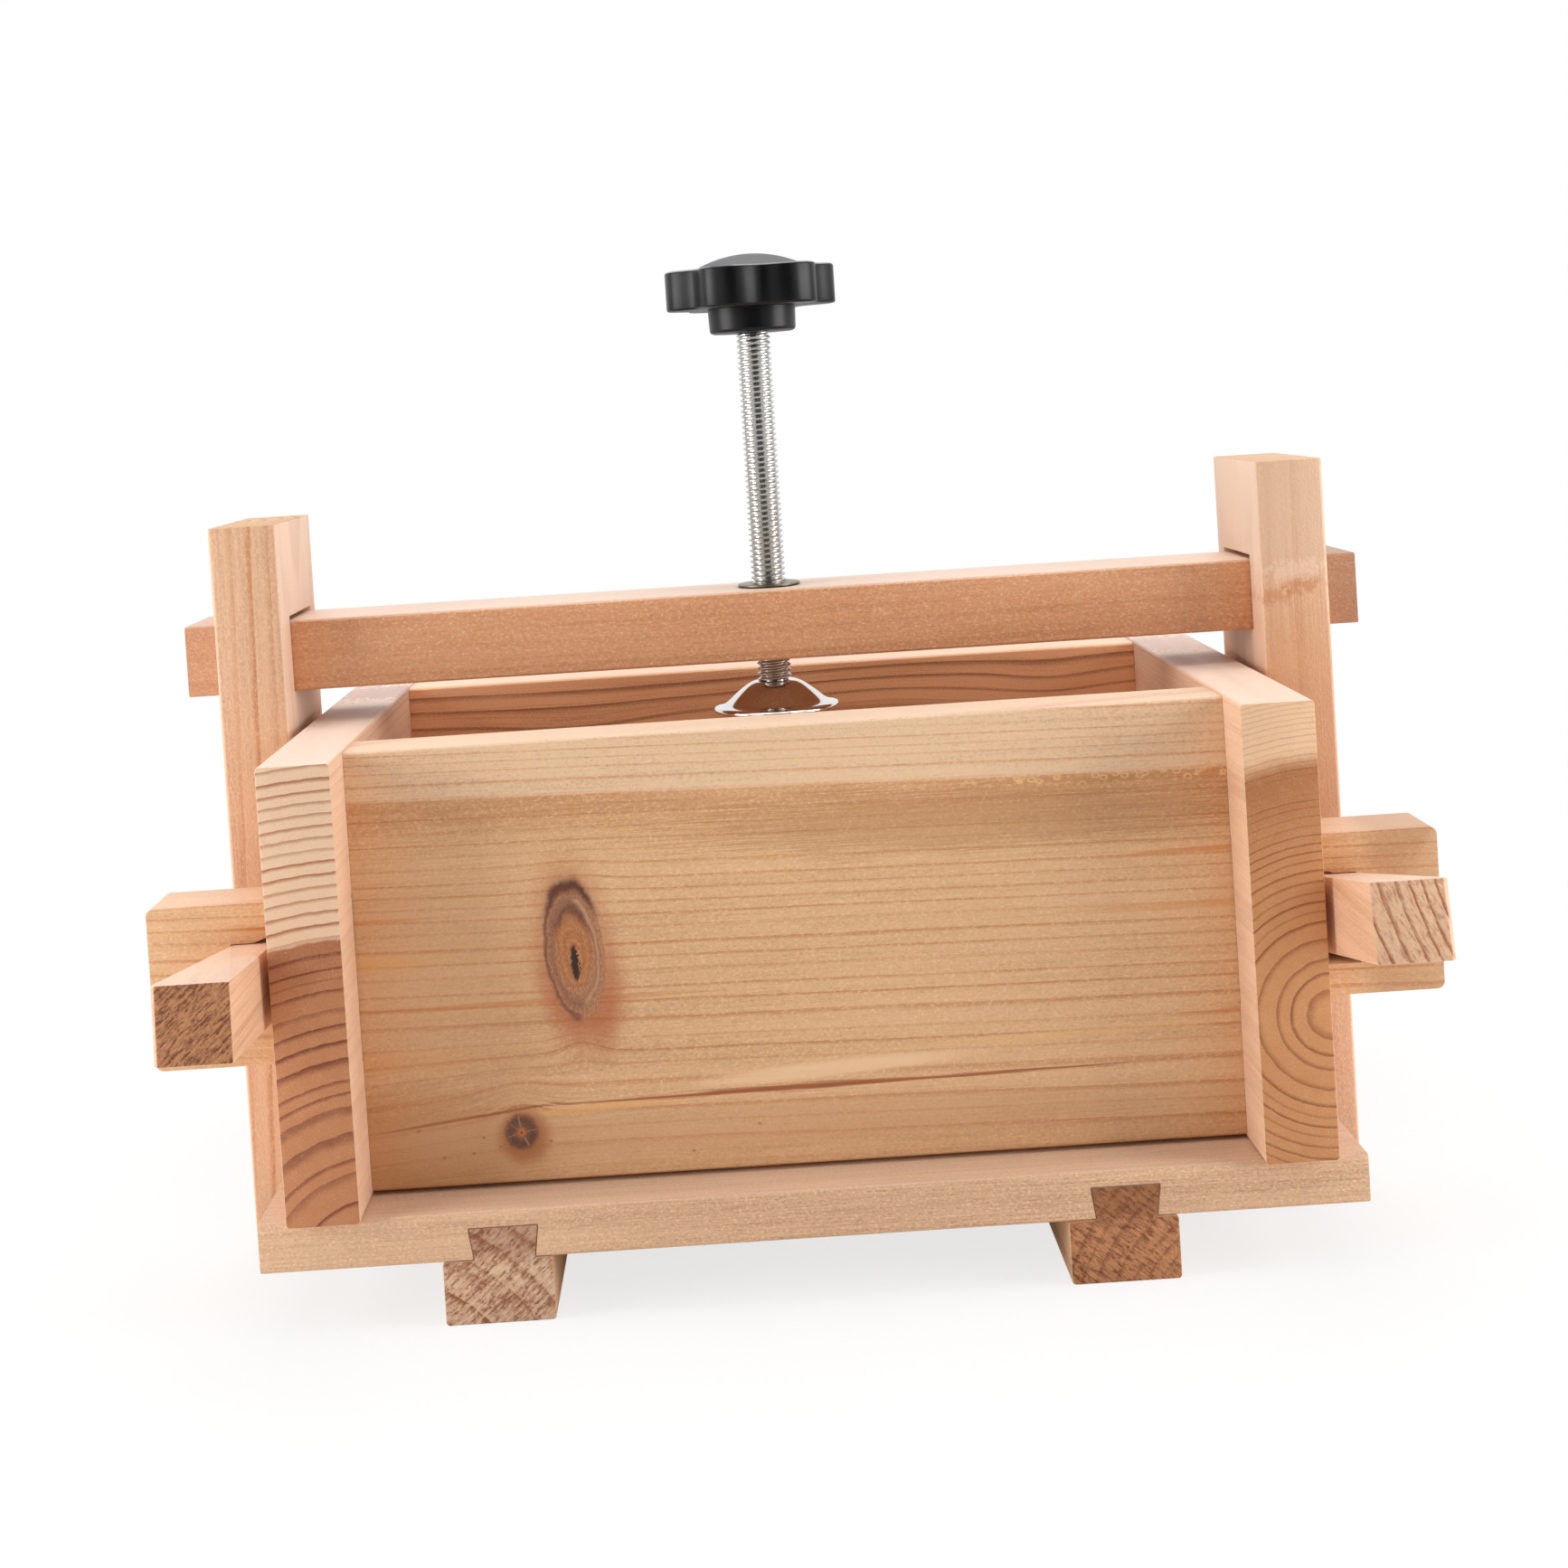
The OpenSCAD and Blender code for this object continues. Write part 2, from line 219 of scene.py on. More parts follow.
class Recipe:
    """Builds one procedural material."""

    def __init__(self, name: str) -> None:
        """Starts an empty material with a Principled shader.

        Args:
            name: Name of the material.
        """
        self.material = bpy.data.materials.new(name)
        self.material.use_nodes = True
        self.tree = self.material.node_tree
        self.tree.nodes.clear()
        self.shader = self.node("ShaderNodeBsdfPrincipled", {}, {})
        self.node("ShaderNodeOutputMaterial", {}, {0: self.shader.outputs[0]})
        self.place = self.node("ShaderNodeTexCoord", {}, {})

    def node(self, kind: str, settings: dict[str, Any], values: dict[Any, Any]) -> Any:
        """Adds a node to the material, as add_node does."""
        return add_node(self.tree, kind, settings, values)

    def split(self, vector: Any) -> tuple[Signal, Signal, Signal]:
        """Takes a vector socket apart into three values."""
        parts = self.node("ShaderNodeSeparateXYZ", {}, {0: vector})
        return tuple(Signal(self, out) for out in parts.outputs)

    def millimetres(self) -> tuple[Signal, Signal, Signal]:
        """The point on the piece in the object's frame.

        Returns:
            Its three coordinates in millimetres.
        """
        scaled = self.node("ShaderNodeVectorMath", {"operation": "SCALE"},
                           {0: self.place.outputs["Object"], "Scale": PER_METRE})
        return self.split(scaled.outputs[0])

    def normal(self) -> tuple[Signal, Signal, Signal]:
        """The direction that the surface faces, in the object's frame."""
        return self.split(self.place.outputs["Normal"])

    def vector(self, *parts: Any) -> Any:
        """Joins three values to a vector socket."""
        return self.node("ShaderNodeCombineXYZ", {}, dict(enumerate(parts))).outputs[0]

    def noise(self, where: Any, detail: float = 2.0, rough: float = 0.5) -> Signal:
        """A soft random pattern with features one unit wide.

        Args:
            where: Vector socket with the place.
            detail: Number of finer layers.
            rough: Strength of the finer layers.

        Returns:
            Values round 0.5.
        """
        node = self.node("ShaderNodeTexNoise", {}, {
            "Vector": where, "Scale": 1.0, "Detail": detail, "Roughness": rough})
        return Signal(self, node.outputs["Fac"])

    def mix(self, share: Any, first: Any, second: Any) -> Any:
        """Mixes two colours.

        Args:
            share: Part of the second colour.
            first: First colour or link.
            second: Second colour or link.

        Returns:
            The mixed colour's socket.
        """
        node = self.node("ShaderNodeMix", {"data_type": "RGBA"}, {0: share, 6: first, 7: second})
        return node.outputs[MIXED_COLOUR]

    def bump(self, height: Signal, depth: float, strength: float) -> Any:
        """Turns a height into a normal.

        Args:
            height: Height, 0 to 1.
            depth: Its depth in metres.
            strength: Share of the bump that is used.

        Returns:
            The normal's socket.
        """
        node = self.node("ShaderNodeBump", {}, {
            "Height": height, "Distance": depth, "Strength": strength})
        return node.outputs[0]

    def set(self, **values: Any) -> None:
        """Sets sockets of the shader; an underscore stands for a space."""
        for key, value in values.items():
            feed(self.tree, self.shader.inputs[key.replace("_", " ")], value)


# --- finishes


class KnotKind(Enum):
    """How a branch shows where a board cuts through it."""

    BARKED = "barked"
    STARRED = "starred"


# Colour of the painted sheen on faces turned towards the light
SHEEN_WHITE = srgb(240, 218, 202)
SUNLIT = srgb(248, 206, 166)


@dataclass(frozen=True)
class Tone:
    """The two colours of a growth ring.

    Attributes:
        early: Colour of its wide, pale part.
        late: Colour of its thin, dark line.
    """

    early: Color
    late: Color


@dataclass(frozen=True)
class Bend:
    """A place where the rings swing aside.

    Attributes:
        along: Place along the grain, mm.
        across: Place across the grain, mm.
        half_along: Its reach along the grain, mm.
        half_across: Its reach across the grain, mm.
        lift: How far the rings move there, mm.
    """

    along: float
    across: float
    half_along: float
    half_across: float
    lift: float

    def shift(self, along: Signal, across: Signal) -> Signal:
        """Works out the movement at a point.

        Args:
            along: Place along the grain.
            across: Place across the grain.

        Returns:
            The movement, mm.
        """
        a = (along - self.along) / self.half_along
        b = (across - self.across) / self.half_across
        return math.e ** -(a * a + b * b) * self.lift


@dataclass(frozen=True)
class Stain:
    """A soft-edged patch or stripe of another colour.

    Attributes:
        along: Place along the grain, mm.
        across: Place across the grain, mm.
        half_along: Half its size along the grain, mm.
        half_across: Half its size across the grain, mm.
        colour: Its colour.
        share: Its strength.
        lean: Rise across the grain for each mm along it.
        broken: How much the grain breaks it up, 0 to 1.
        ragged: Whether torn fibres break it up instead of the grain.
    """

    along: float
    across: float
    half_along: float
    half_across: float
    colour: Color
    share: float
    lean: float = 0.0
    broken: float = 0.3
    ragged: bool = False

    def paint(self, recipe: Recipe, under: Any, along: Signal, across: Signal,
              grit: Signal) -> Any:
        """Lays the patch over a colour.

        Args:
            recipe: The material.
            under: The colour below.
            along: Place along the grain.
            across: Place across the grain.
            grit: A fine random pattern round 0.5.

        Returns:
            The painted colour.
        """
        a = (along - self.along) / self.half_along
        b = (across - self.across - (along - self.along) * self.lean) / self.half_across
        size = (a * a + b * b).root() + (grit - 0.5) * (self.broken * 3.0)
        return recipe.mix((1 - size.step(0.55, 1.25)) * self.share, under, self.colour)


@dataclass(frozen=True)
class Knot:
    """A branch cut through on a board's face.

    Attributes:
        along: Place along the grain, mm.
        across: Place across the grain, mm.
        half_along: Half its size along the grain, mm.
        half_across: Half its size across the grain, mm.
        kind: How it shows.
        slant: Shift along the grain for each mm down across it.
    """

    along: float
    across: float
    half_along: float
    half_across: float
    kind: KnotKind
    slant: float = 0.0

    def paint(self, recipe: Recipe, under: Any, along: Signal, across: Signal) -> Any:
        """Lays the knot over a colour.

        Args:
            recipe: The material.
            under: The colour below.
            along: Place along the grain.
            across: Place across the grain.

        Returns:
            The painted colour.
        """
        up = across - self.across
        side = along - self.along + up * self.slant
        wobble = recipe.noise(recipe.vector(along * 0.35, across * 0.25, 4.0), detail=3.0) - 0.5
        grit = recipe.noise(recipe.vector(along * 3.0, across * 1.2, 9.0), detail=3.0,
                            rough=0.7) - 0.5
        a = side / self.half_along
        b = up / self.half_across
        size = (a * a + b * b).root() + wobble * 0.22
        if self.kind is KnotKind.BARKED:
            return self._barked(recipe, under, side, up, size, grit)
        return self._starred(recipe, under, side, up, size, grit)

    def _barked(self, r: Recipe, under: Any, side: Signal, up: Signal, size: Signal,
                grit: Signal) -> Any:
        """Paints an oval knot with bark round it and a split heart.

        Args:
            r: The material.
            under: The colour below.
            side: Distance from the knot's middle along the grain, mm.
            up: Distance from it across the grain, mm.
            size: Distance from it, 1 at the knot's edge.
            grit: A fine random pattern round 0.

        Returns:
            The painted colour.
        """
        low = (up / self.half_across * -1.0).step(-0.5, 1.0)
        halo = (1 - (size + grit * 0.5 - side.step(0.0, 6.0) * low * 0.25).step(0.95, 1.75)) * (
            low * 0.34 + 0.4)
        colour = r.mix(halo, under, srgb(176, 88, 44))
        shell = r.mix((grit + 0.5).step(0.3, 0.7), srgb(156, 100, 68), srgb(197, 143, 102))
        shell = r.mix(((size * 19.0 + grit).sine() * 0.5 + 0.5) * 0.45, shell, srgb(104, 62, 48))
        colour = r.mix(1 - size.step(0.93, 1.03), colour, shell)
        heart = r.mix((grit + 0.5).step(0.25, 0.75), srgb(166, 98, 54), srgb(208, 144, 92))
        heart = r.mix(((size * 26.0 + grit * 2.0).sine() * 0.5 + 0.5) * 0.35, heart,
                      srgb(136, 74, 38))
        colour = r.mix((1 - (size + low * 0.15).step(0.56, 0.68)) * 0.95, colour, heart)
        right = side.step(0.0, 2.0)
        top = up / self.half_across
        c = (side + 0.1 + grit * 2.2) / 0.85
        d = (up + self.half_across * 0.16) / (self.half_across * 0.27)
        # Pale line on the right, dark cap, inner arc, dark left edge and split heart
        for share, tone in (
                (((size - 0.75) / 0.045).fall() * right * 0.45, (232, 180, 138)),
                (((size - 0.98) / 0.1).fall() * top.step(0.35, 0.8) * 0.92, (82, 37, 24)),
                (((size - 0.62) / 0.07).fall() * top.step(0.1, 0.5) * 0.75, (84, 44, 32)),
                (((size - 0.93) / 0.05).fall() * (1 - side.step(-1.0, 1.0)) * 0.7,
                 (108, 54, 36)),
                (1 - (c * c + d * d).root().step(0.8, 1.1), (52, 31, 20))):
            colour = r.mix(share, colour, srgb(*tone))
        return colour

    def _starred(self, r: Recipe, under: Any, side: Signal, up: Signal, size: Signal,
                 grit: Signal) -> Any:
        """Paints a small round knot with pale cracks that run out from its heart.

        Args:
            r: The material.
            under: The colour below.
            side: Distance from the knot's middle along the grain, mm.
            up: Distance from it across the grain, mm.
            size: Distance from it, 1 at the knot's edge.
            grit: A fine random pattern round 0.

        Returns:
            The painted colour.
        """
        lower = (up * -0.7 + side * 0.5) / self.half_across
        halo = (1 - (size + grit * 0.4 - lower * 0.22).step(0.9, 1.8)) * 0.8
        colour = r.mix(halo, under, srgb(164, 94, 46))
        body = r.mix((grit + 0.5).step(0.25, 0.75), srgb(84, 46, 30), srgb(146, 98, 68))
        colour = r.mix((1 - (size + grit * 0.15).step(0.74, 1.1)) * 0.95, colour, body)
        colour = r.mix(((size - 0.62) / 0.2).fall() * 0.5, colour, srgb(72, 42, 30))
        for turn, width in ((98, 0.17), (-64, 0.19), (8, 0.1), (196, 0.13), (141, 0.07)):
            c, s = math.cos(math.radians(turn)), math.sin(math.radians(turn))
            out = side * c + up * s
            off = (side * -s + up * c + grit * 0.4) / width
            crack = off.fall() * out.step(0.9, 1.5) * (1 - size.step(0.72, 0.9))
            colour = r.mix(crack * 0.5, colour, srgb(192, 148, 120))
        colour = r.mix(1 - (size + grit * 0.3).step(0.12, 0.34), colour, srgb(190, 108, 58))
        return r.mix((1 - size.step(0.03, 0.11)) * 0.8, colour, srgb(84, 44, 26))


@dataclass(frozen=True)
class Timber:
    """Softwood cut from a log, with growth rings round its pith.

    Attributes:
        grain: Direction of the fibres.
        pith: Centre of the rings across the grain, mm, in the order X, Y, Z.
        sap: Colours of the outer wood.
        sap_end: Colours of the outer wood's end grain.
        heart: Colours of the inner wood, if the board has any.
        heart_end: Colours of the inner wood's end grain.
        heart_r: Radius at which the inner wood ends, mm.
        ring: Width of the growth rings at the pith, mm.
        tighten: How fast the rings get narrower outwards.
        lean: Shift of the pith for each mm along the grain.
        line: Strength of the dark lines on the long faces.
        end_line: Strength of the dark lines on the end grain.
        crisp: How thin the dark lines are, 0 to 1.
        sweep: How far the rings wander, mm.
        speckle: Strength of the short pale and dark flecks on the long faces.
        streak: Strength of the long fibre streaks.
        sawn: How roughly the ends are sawn, 0 to 1, which also sets the strength of the painted
            highlight and shade on the saw marks.
        saw_turn: Direction of the saw's marks on the ends, degrees.
        pearls: Strength of the small round resin marks along the edge of the heart.
        seed: Shift of the random patterns.
        fade: Half the width of the edge between inner and outer wood, mm.
        rim: Reach, mm, and strength of the darker band inside that edge.
        uneven: How much the rings' width varies.
        bends: Places where the rings swing aside.
        pale: Faces painted paler with a painted sheen, for the light that falls on them, as
            axis, side and share.
        stains: Patches of other colours.
        knots: Knots.
    """

    grain: Axis
    pith: Pair
    sap: Tone
    sap_end: Tone
    heart: Tone | None = None
    heart_end: Tone | None = None
    heart_r: float = 0.0
    ring: float = 4.0
    tighten: float = 0.0
    lean: Pair = (0.0, 0.0)
    line: float = 0.5
    end_line: float = 0.85
    crisp: float = 0.6
    sweep: float = 2.0
    speckle: float = 0.35
    streak: float = 0.3
    sawn: float = 0.0
    saw_turn: float = 45.0
    pearls: float = 0.0
    seed: float = 0.0
    fade: float = 0.3
    rim: Pair = (8.0, 0.36)
    uneven: float = 1.2
    bends: tuple[Bend, ...] = ()
    pale: tuple[tuple[Axis, int, float], ...] = ((Axis.Z, 1, 0.45),)
    stains: tuple[Stain, ...] = ()
    knots: tuple[Knot, ...] = ()

    def material(self, name: str) -> Any:
        """Builds the wood.

        Args:
            name: Name of the material.

        Returns:
            The material.
        """
        r = Recipe(name)
        spot, normal = r.millimetres(), r.normal()
        w = spot[self.grain.value]
        u, v = (spot[a.value] for a in Axis if a is not self.grain)
        end = abs(normal[self.grain.value]).step(0.75, 0.95)
        long_face = 1 - end
        face = u if self.grain is Axis.Z else v
        across = face
        for bend in self.bends:
            across = across - bend.shift(w, face)
        u, v = (across, v) if self.grain is Axis.Z else (u, across)
        s = self.seed

        def fibres(wide: float, long: float, detail: float, rough: float = 0.5) -> Signal:
            """A random pattern with its features per mm across and along the grain."""
            return r.noise(r.vector(u * wide, v * wide, w * long + s), detail, rough)

        ripple = fibres(0.3, 0.03, 2.0) - 0.5
        reach, dark = self._rings(r, (u, v, w), ripple, end)
        inside = None
        if self.heart_r:
            inside = 1 - (reach + ripple * 1.5).step(self.heart_r - self.fade,
                                                     self.heart_r + self.fade)
        amount = dark * (self.line + (self.end_line - self.line) * end)
        if self.heart_r:
            rim = ((reach - self.heart_r) / self.rim[0]).fall() * inside
            amount = amount.high(rim * self.rim[1])
        tones = (self.sap, self.heart or self.sap, self.sap_end, self.heart_end or self.sap_end)
        colour = r.mix(amount, self._tone(r, end, inside, [t.early for t in tones]),
                       self._tone(r, end, inside, [t.late for t in tones]))
        fine = fibres(3.2, 0.05, 3.0, 0.6)
        broad = fibres(0.35, 0.008, 2.0)
        fleck = fibres(2.3, 1.5, 2.0, 0.7)
        cloud = r.noise(r.vector(u * 0.05, v * 0.05 + s, w * 0.012))
        shade = (fine.step(0.3, 0.7) - 0.5) * self.streak + (
            broad.step(0.3, 0.7) - 0.5) * (self.streak * 0.7)
        shade = shade + (cloud.step(0.3, 0.7) - 0.5) * 0.16
        shade = shade * (0.35 + long_face * 0.65)
        light = (fleck.step(0.52, 0.72) * self.speckle) * long_face
        deep = (1 - fleck.step(0.3, 0.46)) * (self.speckle * 0.4) * long_face
        palest = SUNLIT
        if self.sawn:
            c, q = math.cos(math.radians(self.saw_turn)), math.sin(math.radians(self.saw_turn))
            ruled = r.noise(r.vector((u * c + v * q) * 0.42, (v * c - u * q) * 1.7, w * 0.2 + s),
                            4.0, 0.68)
            torn = fibres(1.5, 1.3, 4.0, 0.8)
            patch = r.noise(r.vector(u * 0.12, v * 0.12, s))
            grain = ruled * 0.7 + torn * 0.3
            # Painted highlight and shade: on the sawn ends the ridges of the saw marks are
            # painted paler and their grooves darker, in step with the bump
            light = light + grain.step(0.5, 0.6) * end * (self.sawn * 0.62)
            deep = deep + (1 - grain.step(0.4, 0.5)) * end * (self.sawn * 0.85)
            deep = deep + patch.step(0.48, 0.62) * end * (self.sawn * 0.22)
            relief_end = (ruled * 1.4 + torn) * (0.6 + self.sawn * 2.6)
            # Colour of the painted highlight on the sawn ends' ridges
            palest = r.mix(end, palest, tuple(min(c * 1.45, 0.88) for c in self.sap_end.early))
        else:
            pore = fibres(2.4, 0.4, 3.0, 0.7)
            light = light + pore.step(0.52, 0.75) * end * 0.22
            deep = deep + (1 - pore.step(0.25, 0.46)) * end * 0.22
            relief_end = pore * 0.8
        shade = shade + light - deep
        colour = r.mix(shade.high(0.0).low(0.8), colour, palest)
        colour = r.mix((-shade).high(0.0).low(0.85), colour, self._deepest())
        if self.pearls:
            cells = r.node("ShaderNodeTexVoronoi", {"feature": "F1"}, {
                "Vector": r.vector(w * 0.42, v * 0.6, s), "Scale": 1.0})
            rim = ((Signal(r, cells.outputs["Distance"]) - 0.3) / 0.09).fall()
            edge = ((reach - self.heart_r + 1.1) / 0.95).fall() * w.step(18.0, 52.0)
            colour = r.mix(rim * edge * self.pearls, colour, srgb(252, 206, 142))
            colour = r.mix(edge * (1 - rim) * self.pearls * 0.4, colour, srgb(188, 120, 62))
        # Painted sheen: faces that turn up or to one side are painted paler, for the light that
        # falls on them
        for axis, side, share in self.pale:
            sheen_facing = (normal[axis.value] * float(side)).step(0.6, 0.9)
            colour = r.mix(sheen_facing * share, colour, SHEEN_WHITE)
        if any(stain.ragged for stain in self.stains):
            torn_spots = fibres(0.55, 0.4, 4.0, 0.75)
        for stain in self.stains:
            colour = stain.paint(r, colour, w, face, torn_spots if stain.ragged else fine)
        for knot in self.knots:
            colour = knot.paint(r, colour, w, face)
        relief = (fine * 0.5 + fleck * (0.3 + self.speckle * 1.4)) * long_face
        relief = relief - dark * (0.35 - end * 0.2) + relief_end * end
        r.set(Base_Color=colour, Roughness=0.46 - dark * 0.08 + end * 0.3 + (fleck - 0.5) * 0.12,
              Normal=r.bump(relief, 0.00013, 0.85), Specular_IOR_Level=0.42)
        return r.material

    def _rings(self, r: Recipe, spot: tuple[Signal, Signal, Signal], ripple: Signal,
               end: Signal) -> tuple[Signal, Signal]:
        """Lays the growth rings round the pith.

        Args:
            r: The material.
            spot: Place, across the grain twice and then along it.
            ripple: Small unevenness round 0.
            end: 1 on the end grain.

        Returns:
            The distance from the pith, and the strength of the dark lines.
        """
        u, v, w = spot
        s = self.seed
        wander = r.noise(r.vector(u * 0.02 + s, v * 0.02, w * 0.006), 1.0) - 0.5
        wander2 = r.noise(r.vector(u * 0.02, v * 0.02 + s, w * 0.004 + 7.0), 1.0) - 0.5
        du = u - self.pith[0] - w * self.lean[0] + wander * (self.sweep * 2)
        dv = v - self.pith[1] - w * self.lean[1] + wander2 * (self.sweep * 2)
        reach = (du * du + dv * dv).root()
        uneven = r.noise(r.vector(reach * 0.13, s, 0.0), 0.0) - 0.5
        phase = reach / self.ring + uneven * self.uneven + ripple * 0.2
        if self.tighten:
            phase = phase + reach * reach * (self.tighten / 2)
        saw = phase.fraction()
        dark = saw.step(0.25 + self.crisp * 0.5, 0.93) * (1 - saw.step(0.94, 1.0))
        power = r.noise(r.vector(reach * 0.45, 3.1, s), 0.0).step(0.28, 0.66)
        return reach, dark * (0.25 + end * 0.25 + power * (0.75 - end * 0.25))

    def _tone(self, r: Recipe, end: Signal, inside: Signal | None,
              choices: list[Color]) -> Any:
        """Picks the colour for sapwood or heartwood, long face or end grain.

        Args:
            r: The material.
            end: 1 on the end grain.
            inside: 1 in the heartwood, if there is any.
            choices: Colours of sapwood and heartwood, and of the end grain of both.

        Returns:
            The picked colour.
        """
        sap, heart, sap_end, heart_end = choices
        if inside is None:
            return r.mix(end, sap, sap_end)
        return r.mix(end, r.mix(inside, sap, heart), r.mix(inside, sap_end, heart_end))

    def _deepest(self) -> Color:
        """Works out the colour of the darkest fibres, which on sawn timber is also the painted
        shade in the grooves of the saw marks.

        Returns:
            The colour.
        """
        if self.sawn:
            return tuple(c * k for c, k in zip(self.sap_end.late, (0.72, 0.6, 0.52)))
        late = self.heart.late if self.heart_r else self.sap.late
        return tuple(c * k for c, k in zip(late, (0.5, 0.4, 0.34)))


@dataclass(frozen=True)
class Plating:
    """Bright metal, zinc plated or polished.

    Attributes:
        name: Name of the material.
        tint: Colour of the metal.
        rough: Roughness of the clean metal.
        wear: Strength of the cloudy, rougher patches.
    """

    name: str
    tint: Color
    rough: float
    wear: float

    def material(self) -> Any:
        """Builds the metal.

        Returns:
            The material.
        """
        r = Recipe(self.name)
        x, y, z = r.millimetres()
        patch = r.noise(r.vector(x * 0.5, y * 0.5, z * 0.5), detail=4.0)
        fine = r.noise(r.vector(x * 6.0, y * 6.0, z * 6.0), detail=2.0)
        r.set(Base_Color=r.mix(patch.step(0.4, 0.8) * self.wear, self.tint,
                               tuple(c * 0.7 for c in self.tint)),
              Roughness=self.rough + patch * self.wear * 0.2 + (fine - 0.5) * self.wear * 0.1,
              Normal=r.bump(fine, 0.00001, 0.3))
        r.set(Metallic=1.0)
        return r.material


@dataclass(frozen=True)
class Moulding:
    """Glossy black moulded plastic.

    Attributes:
        name: Name of the material.
        tint: Its colour.
        rough: Its roughness.
        gloss: Strength of its reflections.
        painted_edge_highlight: Strength of the painted highlight, a pale line along its upper
            edges.
    """

    name: str
    tint: Color
    rough: float
    gloss: float
    painted_edge_highlight: float

    def material(self) -> Any:
        """Builds the plastic.

        Returns:
            The material.
        """
        r = Recipe(self.name)
        x, y, z = r.millimetres()
        haze = r.noise(r.vector(x * 0.12, y * 0.12, z * 0.12), detail=3.0)
        dust = r.noise(r.vector(x * 1.8, y * 1.8, z * 1.8), detail=2.0)
        colour = r.mix(haze.step(0.35, 0.8) * 0.2, self.tint, srgb(34, 34, 38))
        if self.painted_edge_highlight:
            # Painted highlight: the rounded upper edges, which face partly up, are painted pale
            # grey
            up = r.normal()[Axis.Z.value]
            edge = up.step(0.35, 0.6) * (1 - up.step(0.86, 0.97)) * haze.step(0.3, 0.6)
            colour = r.mix(edge * self.painted_edge_highlight, colour, srgb(196, 196, 202))
        r.set(Base_Color=colour,
              Roughness=self.rough + haze * 0.12 + dust.step(0.6, 0.75) * 0.1,
              Normal=r.bump(haze, 0.00008, 0.4))
        r.set(Specular_IOR_Level=self.gloss)
        return r.material


# --- mesh tools


def place_mesh(name: str, bm: Any, material: Any) -> Any:
    """Turns a bmesh into an object of the scene.

    Args:
        name: Name of the object.
        bm: The mesh, in metres, in place.
        material: Its material.

    Returns:
        The object.
    """
    mesh = bpy.data.meshes.new(name)
    bm.to_mesh(mesh)
    bm.free()
    mesh.materials.append(material)
    thing = bpy.data.objects.new(name, mesh)
    bpy.context.scene.collection.objects.link(thing)
    return thing


def make_piece(name: str, bm: Any, material: Any, body: Body,
               stands_for: Sequence[str] = (), sharp: float = 35.0) -> Any:
    """Turns a bmesh into a finished piece.

    Args:
        name: Name of the piece.
        bm: The mesh, in metres, in place.
        material: Its material.
        body: The body that it rides on.
        stands_for: The CAD nodes that it replaces.
        sharp: Edges over this angle, in degrees, stay sharp.

    Returns:
        The object.
    """
    for edge in bm.edges:
        edge.smooth = edge.calc_face_angle(0.0) < math.radians(sharp)
    for face in bm.faces:
        face.smooth = True
    piece = place_mesh(name, bm, material)
    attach(piece, body.value)
    if stands_for:
        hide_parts(*stands_for)
    LOG.info("%s: %d faces, on %s", name, len(piece.data.polygons), body.value)
    return piece


def node_mesh(node: str) -> Any:
    """Copies a CAD node's mesh as one closed surface with flat faces.

    Args:
        node: Name of the node.

    Returns:
        The bmesh.
    """
    bm = bmesh.new()
    bm.from_mesh(frame["nodes"][node].data)
    bmesh.ops.remove_doubles(bm, verts=bm.verts, dist=WELD)
    bmesh.ops.dissolve_limit(bm, angle_limit=math.radians(FLAT), verts=bm.verts,
                             edges=bm.edges, delimit=set())
    return bm


def ease_edges(bm: Any, width: float, segments: int, least: float = 25.0) -> None:
    """Rounds the sharp edges of a mesh.

    Args:
        bm: The mesh.
        width: Width of the rounding, mm.
        segments: Its number of facets.
        least: Edges under this angle, in degrees, are left.
    """
    edges = [e for e in bm.edges if e.calc_face_angle(0.0) > math.radians(least)]
    bmesh.ops.bevel(bm, geom=edges, offset=width * MM, offset_type="OFFSET",
                    affect="EDGES", segments=segments, profile=0.5, material=-1,
                    clamp_overlap=True)


# --- sub-assemblies


PALE = Tone(srgb(232, 195, 157), srgb(208, 136, 82))
TAN = Tone(srgb(223, 178, 132), srgb(186, 108, 48))
ROSE = Tone(srgb(226, 179, 145), srgb(198, 144, 104))
CREAM_END = Tone(srgb(235, 199, 166), srgb(172, 108, 68))
BROWN_END = Tone(srgb(190, 127, 85), srgb(118, 50, 22))
AMBER_END = Tone(srgb(202, 142, 92), srgb(140, 72, 28))
SOFT_END = Tone(srgb(233, 192, 153), srgb(208, 160, 122))
COPPER = Tone(srgb(221, 160, 117), srgb(192, 126, 84))
RUST = Tone(srgb(246, 190, 144), srgb(136, 68, 32))
STRAW = Tone(srgb(227, 181, 145), srgb(190, 116, 66))
BUFF = Tone(srgb(217, 176, 140), srgb(180, 130, 92))
ROUGH_PALE = Tone(srgb(222, 180, 148), srgb(160, 96, 54))
ROUGH_DARK = Tone(srgb(190, 131, 88), srgb(126, 64, 32))
ROUGH_ROSE = Tone(srgb(230, 184, 148), srgb(166, 92, 50))


def stains(*rows: Sequence[Any]) -> tuple[Stain, ...]:
    """Makes stains from rows of numbers.

    Args:
        rows: Place along and across, half sizes, screen colour, strength and then, if
            they are needed, lean, how broken and whether ragged.

    Returns:
        The stains.
    """
    return tuple(Stain(*row[:4], srgb(*row[4]), *row[5:]) for row in rows)


